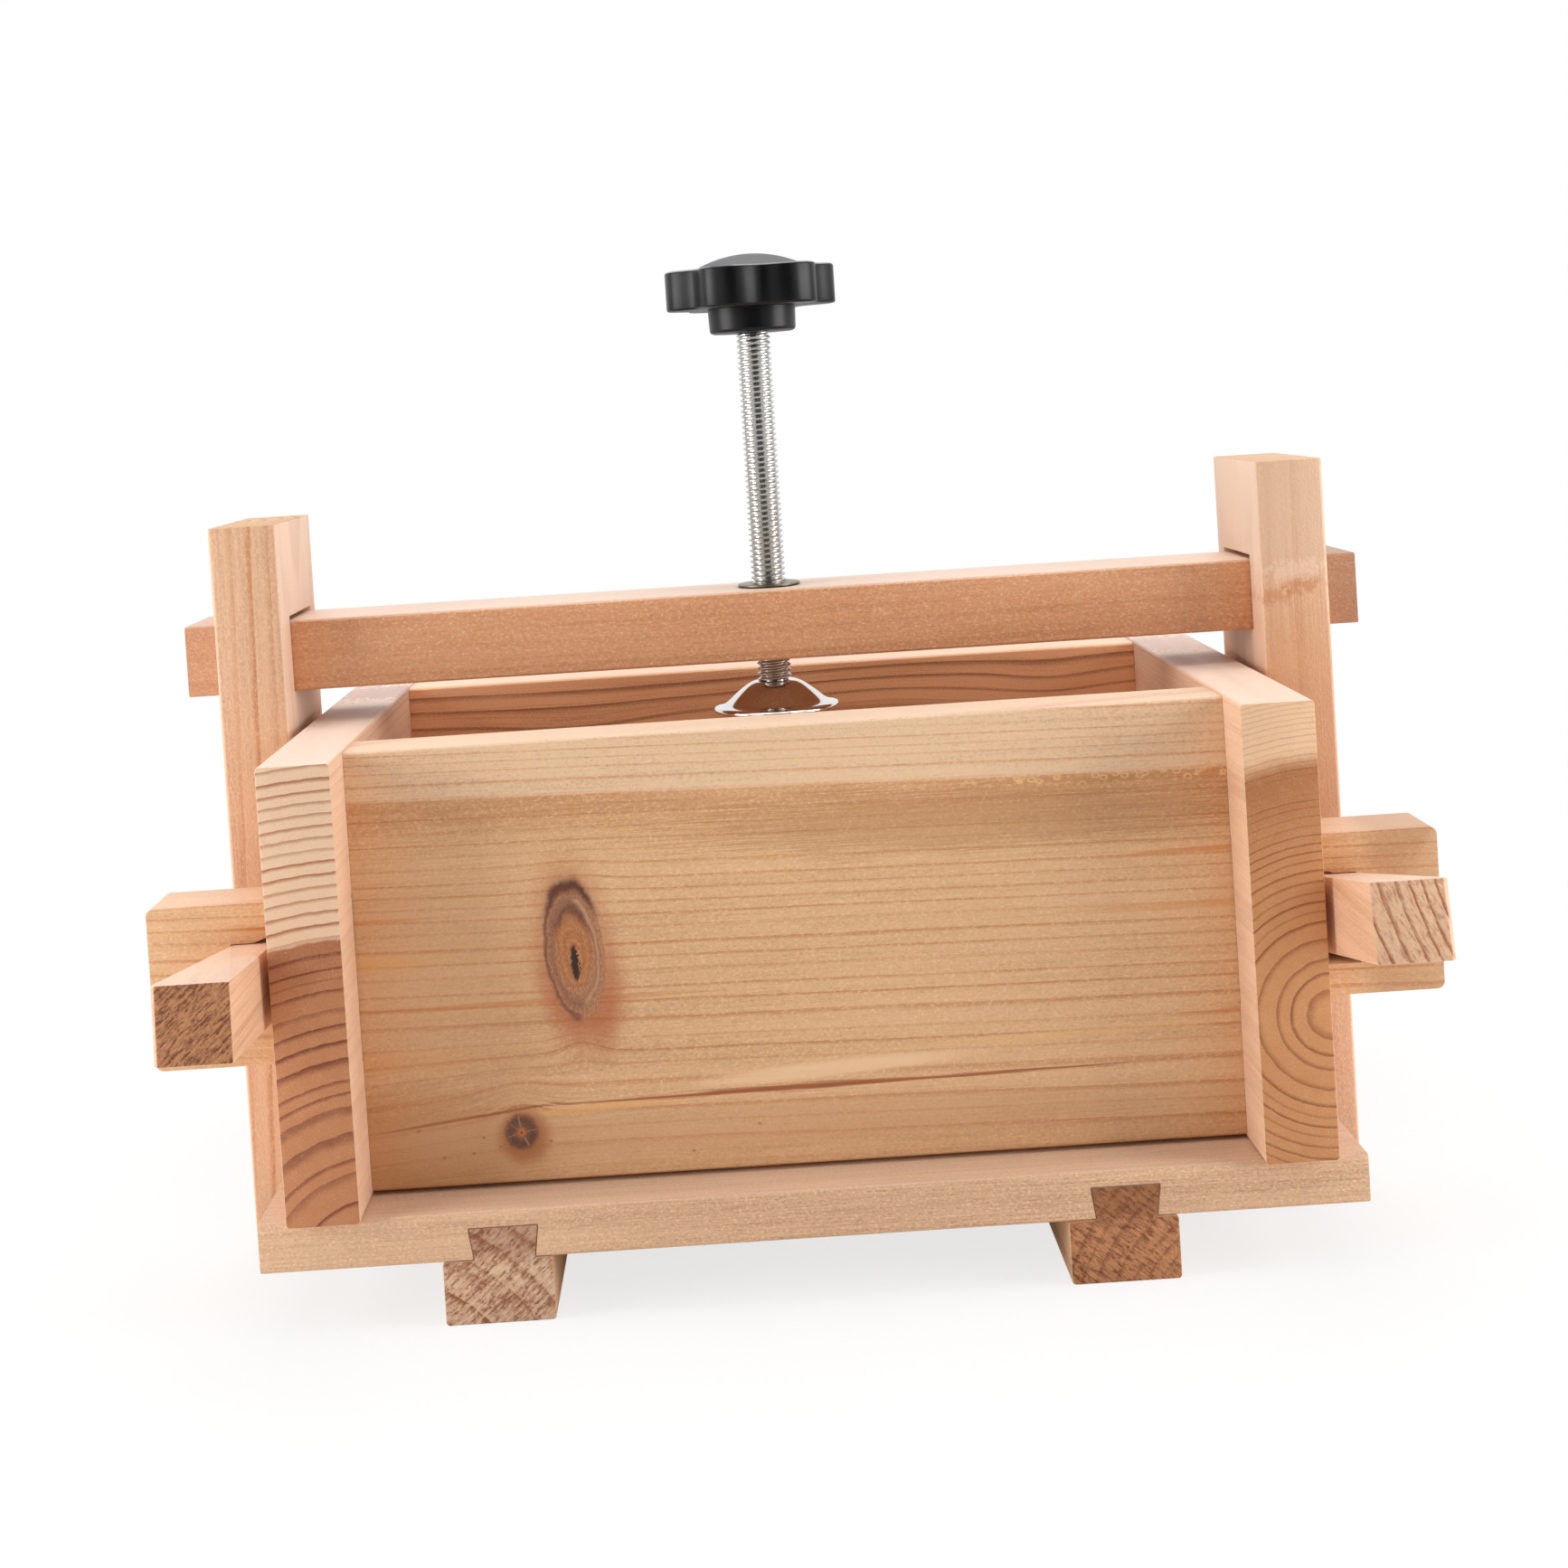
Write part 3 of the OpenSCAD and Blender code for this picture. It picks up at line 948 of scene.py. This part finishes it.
BIG_KNOT = Knot(-46.2, 71.4, 6.3, 14.6, KnotKind.BARKED, 0.052)
SMALL_KNOT = Knot(-59.6, 34.4, 3.7, 4.0, KnotKind.STARRED)
SPECKS = stains(*((x, z, 0.42, 0.32, (150, 92, 56), 0.6, 0.0, 0.0) for x, z in (
    (-67.5, 33.8), (-64.2, 31.7), (-69.8, 30.6), (-53.6, 32.2),
    (-76.0, 30.0), (-24.0, 28.2), (-81.0, 36.0), (-10.0, 33.0))))
MARKS = stains(
    (-80.0, 58.0, 34.0, 40.0, (190, 136, 92), 0.35),
    (-80.0, 33.0, 30.0, 12.0, (180, 122, 66), 0.42),
    (-42.0, 38.6, 18.0, 0.9, (234, 176, 108), 0.62, 0.03, 0.5),
    (6.0, 43.6, 30.0, 1.7, (242, 202, 160), 0.85, 0.05, 0.3),
    (-4.0, 40.2, 24.0, 0.8, (150, 76, 36), 0.8, 0.01, 0.9),
    (8.0, 40.2, 74.0, 0.4, (160, 86, 40), 0.9, 0.008, 0.6),
    (52.0, 47.6, 38.0, 0.9, (236, 186, 124), 0.45, 0.02, 0.6),
    (-72.0, 37.9, 22.0, 0.4, (156, 86, 42), 0.9, 0.11, 0.5),
    (40.0, 94.0, 66.0, 7.0, (168, 112, 62), 0.38, -0.02, 0.7),
    (-20.0, 33.0, 110.0, 5.5, (206, 156, 114), 0.5),
    (-96.0, 71.5, 22.0, 2.2, (226, 168, 100), 0.5, 0.0, 0.5),
    (-98.0, 80.5, 24.0, 0.5, (204, 132, 68), 0.6, 0.0, 0.5),
    (-60.0, 61.5, 44.0, 0.6, (196, 124, 66), 0.5, 0.0, 0.6),
    (-92.0, 50.5, 26.0, 2.4, (216, 154, 92), 0.4, 0.0, 0.6),
    (88.0, 84.5, 24.0, 0.6, (208, 132, 70), 0.65, 0.0, 0.6),
    (84.0, 73.0, 30.0, 0.9, (216, 150, 88), 0.5, 0.0, 0.6),
    (95.0, 50.5, 20.0, 0.6, (204, 130, 70), 0.6, 0.02, 0.5),
    (128.0, 60.0, 10.0, 60.0, (160, 112, 76), 0.4, 0.0, 0.1))
FRONT = Timber(
    Axis.X, (-30.0, -40.0), PALE, CREAM_END, TAN, BROWN_END,
    heart_r=145.4, ring=20.0, tighten=0.0026, lean=(0.0, -0.024), line=0.6,
    crisp=0.86, sweep=1.1, speckle=0.55, streak=0.2, pearls=0.7, seed=1.0,
    bends=(Bend(-104.0, 36.0, 34.0, 15.0, -5.0), Bend(-59.6, 41.0, 6.5, 5.0, 2.4),
           Bend(-46.0, 52.0, 5.0, 4.0, 2.0), Bend(-46.0, 88.0, 9.0, 5.0, 1.0)),
    stains=MARKS + SPECKS, pale=((Axis.Z, 1, 0.34),), knots=(BIG_KNOT, SMALL_KNOT))
# Body, pith, end grain, ring width, roughness and direction of the saw, and the dark
# lines' strength and crispness
WEDGE_ROWS = (
    (Body.WEDGE_FRONT_LEFT, (-90.0, 20.0), ROUGH_DARK, 2.4, 1.15, 42.0, 0.3, 0.6),
    (Body.WEDGE_FRONT_RIGHT, (186.0, 98.0), ROUGH_ROSE, 2.6, 0.5, -64.0, 1.0, 0.7),
    (Body.WEDGE_BACK_LEFT, (-90.0, 130.0), ROUGH_PALE, 2.4, 0.8, 30.0, 0.85, 0.6),
    (Body.WEDGE_BACK_RIGHT, (90.0, 120.0), ROUGH_PALE, 2.8, 0.8, -20.0, 0.85, 0.6))
WEDGES = [
    (body.value, body, "wedge_wood", Timber(
        Axis.Y, pith, ROSE, tone, ring=ring, sawn=sawn, saw_turn=turn, end_line=line,
        crisp=crisp, seed=seed))
    for seed, (body, pith, tone, ring, sawn, turn, line, crisp) in enumerate(WEDGE_ROWS, 12)]
BOARDS: list[tuple[str, Body, str, Timber]] = [
    ("front_panel", Body.BOX, "box_wood", FRONT),
    ("back_panel", Body.BOX, "box_wood", Timber(
        Axis.X, (58.0, -60.0), ROSE, CREAM_END, RUST, BROWN_END,
        heart_r=400.0, ring=4.4, line=0.95, crisp=0.66, sweep=2.4, uneven=2.2, seed=4.0,
        bends=(Bend(24.0, 104.0, 26.0, 9.0, 2.6), Bend(-52.0, 100.0, 22.0, 8.0, -2.4),
               Bend(70.0, 108.0, 14.0, 6.0, -1.8)))),
    ("end_board_left", Body.BOX, "box_wood", Timber(
        Axis.Y, (-89.0, 12.0), ROSE, CREAM_END, ROSE, BROWN_END,
        heart_r=69.0, ring=6.4, tighten=0.0029, line=0.4, end_line=1.0, crisp=0.6,
        pale=((Axis.Z, 1, 0.8), (Axis.X, 1, 0.14)), sweep=1.2, uneven=2.4, seed=2.0,
        stains=stains((33.0, 116.6, 13.0, 1.3, (186, 148, 138), 0.75, 0.0, 1.3, True)))),
    ("end_board_right", Body.BOX, "box_wood", Timber(
        Axis.Y, (106.8, 52.7), ROSE, SOFT_END, ROSE, AMBER_END,
        heart_r=52.0, ring=6.0, tighten=0.0115, line=0.45, end_line=0.9, crisp=0.7,
        fade=2.4, rim=(16.0, 0.54), pale=((Axis.Z, 1, 0.74), (Axis.X, -1, 0.12)),
        sweep=0.5, seed=3.0,
        stains=stains((30.0, 116.6, 16.0, 1.3, (190, 152, 140), 0.65, 0.0, 1.3, True)))),
    ("base_board", Body.FRAME, "base_wood", Timber(
        Axis.X, (20.0, -90.0), BUFF, CREAM_END, ring=3.4, line=0.4, speckle=0.7, streak=0.36,
        pale=((Axis.Z, 1, 0.3),), seed=5.0)),
    ("foot_batten_left", Body.FRAME, "base_wood", Timber(
        Axis.Y, (-96.0, -28.0), BUFF, ROUGH_PALE, ring=6.0, sawn=1.1, saw_turn=40.0,
        end_line=1.0, seed=6.0,
        stains=stains((0.0, 19.0, 900.0, 6.4, (128, 66, 22), 0.4, 0.0, 0.1)))),
    ("foot_batten_right", Body.FRAME, "base_wood", Timber(
        Axis.Y, (100.0, -20.0), BUFF, ROUGH_DARK, ring=3.0, sawn=0.9, saw_turn=-40.0,
        end_line=0.6, seed=7.0,
        stains=stains((0.0, 19.0, 900.0, 6.4, (112, 56, 16), 0.46, 0.0, 0.1)))),
    ("post_left", Body.FRAME, "frame_wood", Timber(
        Axis.Z, (-150.0, -4.0), STRAW, BUFF, ring=3.6, line=0.75, speckle=0.45,
        lean=(0.03, 0.02), streak=0.18, sweep=3.0, seed=8.0,
        pale=((Axis.X, 1, 0.4), (Axis.X, -1, 0.2)))),
    ("post_right", Body.FRAME, "frame_wood", Timber(
        Axis.Z, (150.0, 50.0), ROSE, BUFF, ring=3.2, line=0.45, speckle=0.5, streak=0.18,
        seed=9.0, pale=((Axis.X, -1, 0.5), (Axis.X, 1, 0.2)),
        stains=stains((151.0, 117.0, 17.0, 14.0, (218, 184, 154), 0.6),
                      (96.0, 117.0, 44.0, 14.0, (202, 146, 104), 0.6),
                      (134.6, 118.6, 2.2, 4.2, (190, 112, 62), 0.5, 0.0, 1.3, True),
                      (132.0, 112.6, 1.8, 3.6, (190, 116, 70), 0.45, 0.0, 1.3, True),
                      (138.0, 117.0, 2.4, 6.5, (240, 210, 186), 0.42, 0.0, 1.4, True)))),
    ("top_beam", Body.BEAM, "frame_wood", Timber(
        Axis.X, (60.0, 60.0), COPPER, BUFF, ring=3.4, line=0.3, speckle=0.65, streak=0.16,
        seed=10.0, pale=((Axis.Z, 1, 0.72),),
        stains=stains((138.0, 145.0, 20.0, 60.0, (132, 84, 50), 0.66, 0.0, 0.1),
                      (-138.0, 132.0, 20.0, 60.0, (150, 100, 70), 0.34, 0.0, 0.1)))),
    ("press_lid", Body.LID, "box_wood", Timber(
        Axis.X, (10.0, -90.0), PALE, CREAM_END, ring=3.8, line=0.6, seed=11.0)),
] + WEDGES


@dataclass
class Woodwork:
    """All boards, bars and wedges of the press.

    Attributes:
        ease: Rounding of the edges, mm.
    """

    ease: float = 0.3

    def build(self) -> None:
        """Dresses every wooden piece."""
        for node, body, slot, timber in BOARDS:
            bm = node_mesh(node)
            ease_edges(bm, self.ease, 2)
            make_piece(node + "_planed", bm, timber.material(node + "_wood"), body, [node])


@dataclass
class Screw:
    """The threaded rod with its knob, and the foot that hangs on it.

    Attributes:
        pitch: Rise of the thread in one turn, mm.
        root: Radius at the root of the thread, mm.
        crest: Radius at its crest, mm.
        steps: Facets in one turn.
        hub: Height of the knob's hub, mm.
        hub_r: Its radius, mm.
        lobe_reach: Radius of the knob over its lobes, mm.
        hollow: Depth of the hollows between the lobes, mm.
        lobe_turn: Direction of the first lobe, degrees.
        lobes: Number of lobes.
        softness: How much wider the lobes are than the hollows.
        undercut: How much thinner the neck is than the thread, mm.
        flare: How much its lower end widens, mm.
        clear: Gap between the foot and the thread, mm.
    """

    pitch: float = 1.25
    root: float = 3.3
    crest: float = 3.97
    steps: int = 28
    hub: float = 5.8
    hub_r: float = 10.0
    lobe_reach: float = 19.7
    hollow: float = 3.4
    lobe_turn: float = -52.0
    lobes: int = 6
    softness: float = 1.6
    undercut: float = 1.1
    flare: float = 0.9
    clear: float = 0.2

    def build(self) -> None:
        """Builds the rod, knob, cap, insert, washer and foot."""
        zinc = Plating("zinc_plate", srgb(208, 208, 205), 0.17, 0.4).material()
        steel = Plating("insert_steel", srgb(128, 118, 102), 0.26, 0.6).material()
        chrome = Plating("foot_chrome", srgb(228, 225, 221), 0.06, 0.12).material()
        black = Moulding("knob_plastic", srgb(11, 11, 12), 0.27, 0.22, 0.55).material()
        satin = Moulding("cap_plastic", srgb(36, 34, 42), 0.36, 0.5, 0.0).material()
        make_piece("threaded_rod", self.thread(), zinc, Body.SCREW,
                   ["screw_rod"], sharp=24.0)
        for node, width, finish, body, slot in (
                ("knob_cap", 0.15, satin, Body.SCREW, "knob_plastic"),
                ("foot_washer", 0.1, zinc, Body.SCREW, "zinc_steel")):
            bm = node_mesh(node)
            ease_edges(bm, width, 3, 40.0)
            make_piece(node + "_finished", bm, finish, body, [node])
        make_piece("lobed_knob", self.knob(), black, Body.SCREW, ["knob"])
        make_piece("threaded_insert", self.insert(), steel, Body.BEAM,
                   ["insert_nut"], sharp=40.0)
        make_piece("swivel_foot", self.foot(), chrome, Body.FOOT,
                   ["press_foot"], sharp=50.0)

    def thread(self) -> Any:
        """Sweeps the thread's profile along its helix, above a turned neck.

        Returns:
            The bmesh.
        """
        low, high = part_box("screw_rod")
        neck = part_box("press_foot")[1].z + self.clear * MM
        turns = math.ceil((high.z - neck) / (self.pitch * MM)) + 2
        flat = self.pitch / 8
        bm = bmesh.new()
        outline = [(self.root, 0.0), (self.root, flat), (self.crest, self.pitch / 2),
                   (self.crest, self.pitch / 2 + flat), (self.root, self.pitch)]
        verts = [bm.verts.new((x * MM, 0.0, neck - self.pitch * MM + z * MM))
                 for x, z in outline]
        edges = [bm.edges.new(p) for p in zip(verts, verts[1:])]
        bmesh.ops.spin(bm, geom=verts + edges, cent=(0, 0, 0), axis=(0, 0, 1),
                       dvec=(0, 0, self.pitch * MM / self.steps),
                       angle=math.tau * turns, steps=self.steps * turns)
        bmesh.ops.remove_doubles(bm, verts=bm.verts, dist=2 * WELD)
        for height, up in ((high.z, 1), (neck, -1)):
            cut = bmesh.ops.bisect_plane(bm, geom=bm.verts[:] + bm.edges[:] + bm.faces[:],
                                         plane_co=(0, 0, height), plane_no=(0, 0, up),
                                         clear_outer=True)
            rim = [e for e in cut["geom_cut"] if isinstance(e, bmesh.types.BMEdge)]
            bmesh.ops.edgenet_fill(bm, edges=rim)
        bmesh.ops.recalc_face_normals(bm, faces=bm.faces)
        neck_r = high.x - self.undercut * MM
        for r1, r2, z1, z2 in ((neck_r, neck_r, low.z + MM, neck),
                               (neck_r, neck_r + self.flare * MM, low.z, low.z + MM)):
            place = Matrix.Translation((0, 0, (z1 + z2) / 2))
            bmesh.ops.create_cone(bm, cap_ends=True, segments=48, radius1=r1, radius2=r2,
                                  depth=z2 - z1, matrix=place)
        return bm

    def knob(self) -> Any:
        """Shapes the six soft lobes on their hub.

        Returns:
            The bmesh.
        """
        low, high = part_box("knob")
        floor = low.z + self.hub * MM
        bm = bmesh.new()
        ring = bmesh.ops.create_circle(bm, cap_ends=True, segments=240, radius=1.0)
        for vert in ring["verts"]:
            turn = math.atan2(vert.co.y, vert.co.x)
            swing = math.cos(self.lobes * (turn - math.radians(self.lobe_turn)))
            dip = (0.5 - 0.5 * swing) ** self.softness
            reach = (self.lobe_reach - self.hollow * dip) * MM
            vert.co = (reach * math.cos(turn), reach * math.sin(turn), floor)
        top = bmesh.ops.extrude_face_region(bm, geom=bm.faces[:])
        bmesh.ops.translate(bm, vec=(0, 0, high.z - floor),
                            verts=[v for v in top["geom"] if isinstance(v, bmesh.types.BMVert)])
        bmesh.ops.recalc_face_normals(bm, faces=bm.faces)
        ease_edges(bm, 0.6, 3, 60.0)
        wide = self.hub_r * MM
        for r1, r2, z1, z2 in ((wide - 0.9 * MM, wide - 0.25 * MM, 0.0, 0.3),
                               (wide - 0.25 * MM, wide, 0.3, 0.9),
                               (wide, wide + 0.2 * MM, 0.9, self.hub + 0.2)):
            place = Matrix.Translation((0, 0, low.z + (z1 + z2) / 2 * MM))
            bmesh.ops.create_cone(bm, cap_ends=True, segments=96, radius1=r1, radius2=r2,
                                  depth=(z2 - z1) * MM, matrix=place)
        return bm

    def spun(self, outline: Sequence[Pair], base: float, steps: int = 96) -> Any:
        """Spins a closed profile round the screw's axis.

        Args:
            outline: Radius and height of its corners, mm.
            base: Height of its zero, metres.
            steps: Facets in the turn.

        Returns:
            The bmesh.
        """
        bm = bmesh.new()
        verts = [bm.verts.new((x * MM, 0, base + z * MM)) for x, z in outline]
        edges = [bm.edges.new(p) for p in zip(verts, verts[1:] + verts[:1])]
        bmesh.ops.spin(bm, geom=verts + edges, cent=(0, 0, 0), axis=(0, 0, 1),
                       angle=math.tau, steps=steps, use_merge=True)
        bmesh.ops.remove_doubles(bm, verts=bm.verts, dist=WELD / 10)
        bmesh.ops.recalc_face_normals(bm, faces=bm.faces)
        return bm

    def insert(self) -> Any:
        """Turns the flanged insert, with its rolled flange.

        Returns:
            The bmesh.
        """
        low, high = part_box("insert_nut")
        flange = high.x / MM
        tall = (high.z - low.z) / MM
        hole, body, lip = 4.06, 5.9, 0.9
        return self.spun([
            (hole, 0.3), (hole + 0.4, 0.0), (body, 0.0), (body, tall - lip),
            (flange - 0.9, tall - lip), (flange, tall - 0.6), (flange, tall - 0.32),
            (flange - 0.25, tall - 0.18), (flange - 1.2, tall - 0.1), (hole + 1.1, tall),
            (hole + 0.4, tall - 0.05), (hole, tall - 0.4)], low.z)

    def foot(self) -> Any:
        """Spins the pressed sheet foot from its profile.

        Returns:
            The bmesh.
        """
        low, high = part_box("press_foot")
        rim = high.x / MM
        tall = (high.z - low.z) / MM
        return self.spun([
            (rim - 0.8, 0.0), (rim - 0.25, 0.12), (rim, 0.5), (rim - 0.1, 0.95),
            (rim - 0.55, 1.3), (rim - 1.4, 1.45), (12.6, 1.62), (11.8, 1.95), (11.1, 2.45),
            (10.4, 3.05), (9.3, 3.95), (8.2, 4.8), (7.2, 5.5), (6.4, 6.0), (5.6, 6.4),
            (4.9, 6.65), (4.3, tall - 0.04), (3.6, tall), (3.0, tall), (3.0, tall - 1.2),
            (4.2, tall - 1.25), (5.0, 5.4), (6.6, 4.45), (8.6, 2.95), (9.7, 1.95),
            (10.5, 1.15), (11.3, 0.55), (12.2, 0.2), (13.0, 0.0)], low.z)


# --- studio


@dataclass
class Studio:
    """Camera, lights, floor and background.

    Attributes:
        eye: Place of the lens, mm.
        yaw: Turn of the camera to the side, degrees.
        pitch: Tilt of the camera, degrees.
        roll: Turn of the picture, degrees.
        focal: Focal length in pixels of the photograph.
        centre: Where the optical axis meets the photograph, pixels.
        frame: Side of the photograph, pixels.
        target: Point that the lamps face, mm.
        fill: Strength of the background's light where nothing shows it.
        floor_size: Half the side of the floor, metres.
        floor_white: Share of plain white on the floor round the press.
    """

    eye: Triple = (-8.96, -494.1, 185.75)
    yaw: float = -0.2697
    pitch: float = -1.5765
    roll: float = -3.6501
    focal: float = 2350.75
    centre: Pair = (809.19, 496.93)
    frame: float = 1734.0
    target: Triple = (0, 0, 90)
    fill: float = 0.37
    floor_size: float = 3.0
    floor_white: float = 0.76

    def build(self) -> None:
        """Sets up the whole studio."""
        self.camera()
        self.background()
        self.floor()
        self.lamp("left_light", (-710, -190, 250), 420, 3.9)
        self.lamp("right_light", (710, -190, 250), 420, 3.9)
        self.lamp("top_light", (0, 110, 770), 800, 4.1)
        self.card()

    def camera(self) -> None:
        """Places the camera at the photograph's viewpoint."""
        turn = (Matrix.Rotation(math.radians(self.yaw), 3, "Z")
                @ Matrix.Rotation(math.radians(self.pitch), 3, "X"))
        right, ahead, up = (turn @ Vector(v) for v in ((1, 0, 0), (0, 1, 0), (0, 0, 1)))
        c, s = math.cos(math.radians(self.roll)), math.sin(math.radians(self.roll))
        side = right * c + up * s
        top = up * c - right * s
        pose = Matrix((side, top, -ahead)).transposed().to_4x4()
        pose.translation = Vector(self.eye) * MM
        data = bpy.data.cameras.new("camera")
        data.sensor_width = SENSOR_MM
        data.lens = self.focal / self.frame * data.sensor_width
        data.shift_x = (self.frame / 2 - self.centre[0]) / self.frame
        data.shift_y = (self.centre[1] - self.frame / 2) / self.frame
        data.clip_start = 0.01
        camera = bpy.data.objects.new("camera", data)
        camera.matrix_world = pose
        bpy.context.scene.collection.objects.link(camera)
        bpy.context.scene.camera = camera

    def background(self) -> None:
        """Makes the world a soft light that is white where the camera sees it."""
        world = bpy.data.worlds.new("studio")
        bpy.context.scene.world = world
        world.use_nodes = True
        tree = world.node_tree
        tree.nodes.clear()
        path = add_node(tree, "ShaderNodeLightPath", {}, {})
        seen = path.outputs["Is Camera Ray"]
        for ray in ("Is Glossy Ray", "Is Transmission Ray"):
            seen = add_node(tree, "ShaderNodeMath", {"operation": "MAXIMUM"},
                            {0: seen, 1: path.outputs[ray]}).outputs[0]
        level = add_node(tree, "ShaderNodeMapRange", {}, {0: seen, 3: self.fill, 4: 1.0})
        back = add_node(tree, "ShaderNodeBackground", {},
                        {0: (1.0, 1.0, 1.0), 1: level.outputs[0]})
        add_node(tree, "ShaderNodeOutputWorld", {}, {0: back.outputs[0]})

    def floor(self) -> None:
        """Lays a pale floor that keeps the shadow."""
        bm = bmesh.new()
        bmesh.ops.create_grid(bm, x_segments=8, y_segments=8, size=self.floor_size)
        r = Recipe("floor_paper")
        x, y, _ = r.millimetres()
        far = ((x * x + y * y).root()).step(180.0, 420.0)
        r.set(Base_Color=(0.92, 0.92, 0.92), Roughness=0.9)
        white = r.node("ShaderNodeEmission", {}, {0: (1.0, 1.0, 1.0), 1: 1.0})
        path = r.node("ShaderNodeLightPath", {}, {})
        seen = Signal(r, path.outputs["Is Camera Ray"])
        share = seen * (far * (1 - self.floor_white) + self.floor_white)
        both = r.node("ShaderNodeMixShader", {}, {
            0: share, 1: r.shader.outputs[0], 2: white.outputs[0]})
        r.node("ShaderNodeOutputMaterial", {"is_active_output": True}, {0: both.outputs[0]})
        floor = place_mesh("floor", bm, r.material)

    def card(self) -> None:
        """Hangs a dark card behind the camera, which only shiny surfaces show."""
        bm = bmesh.new()
        turn = Matrix.Rotation(math.radians(78), 4, "X")
        bmesh.ops.create_grid(bm, x_segments=2, y_segments=2, size=0.5,
                              matrix=Matrix.Translation((0, -0.62, 0.42)) @ turn)
        bmesh.ops.scale(bm, vec=(0.62, 1.0, 1.0), verts=bm.verts)
        r = Recipe("card_cloth")
        x, y, z = r.millimetres()
        weave = r.noise(r.vector(x * 0.4, y * 0.4, z * 0.4))
        r.set(Base_Color=r.mix(weave, srgb(46, 40, 37), srgb(62, 54, 48)), Roughness=0.9)
        card = place_mesh("card", bm, r.material)
        card.visible_camera = False
        card.visible_diffuse = False
        card.visible_shadow = False
        card.visible_transmission = False

    def lamp(self, name: str, place: Triple, size: float, watts: float) -> None:
        """Hangs a soft square lamp that faces the press.

        Args:
            name: Name of the lamp.
            place: Its place, mm.
            size: Its side, mm.
            watts: Its power.
        """
        data = bpy.data.lights.new(name, "AREA")
        data.shape = "SQUARE"
        data.size = size * MM
        data.energy = watts
        lamp = bpy.data.objects.new(name, data)
        spot = Vector(place) * MM
        aim = (Vector(self.target) * MM - spot).to_track_quat("-Z", "Y")
        lamp.matrix_world = Matrix.Translation(spot) @ aim.to_matrix().to_4x4()
        bpy.context.scene.collection.objects.link(lamp)


def main() -> None:
    """Builds the press and its studio."""
    logging.basicConfig(level=logging.INFO, format="%(name)s %(message)s")
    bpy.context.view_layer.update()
    bpy.context.scene.view_settings.view_transform = "Standard"
    Studio().build()
    Woodwork().build()
    Screw().build()


if __name__ == "__main__":
    main()
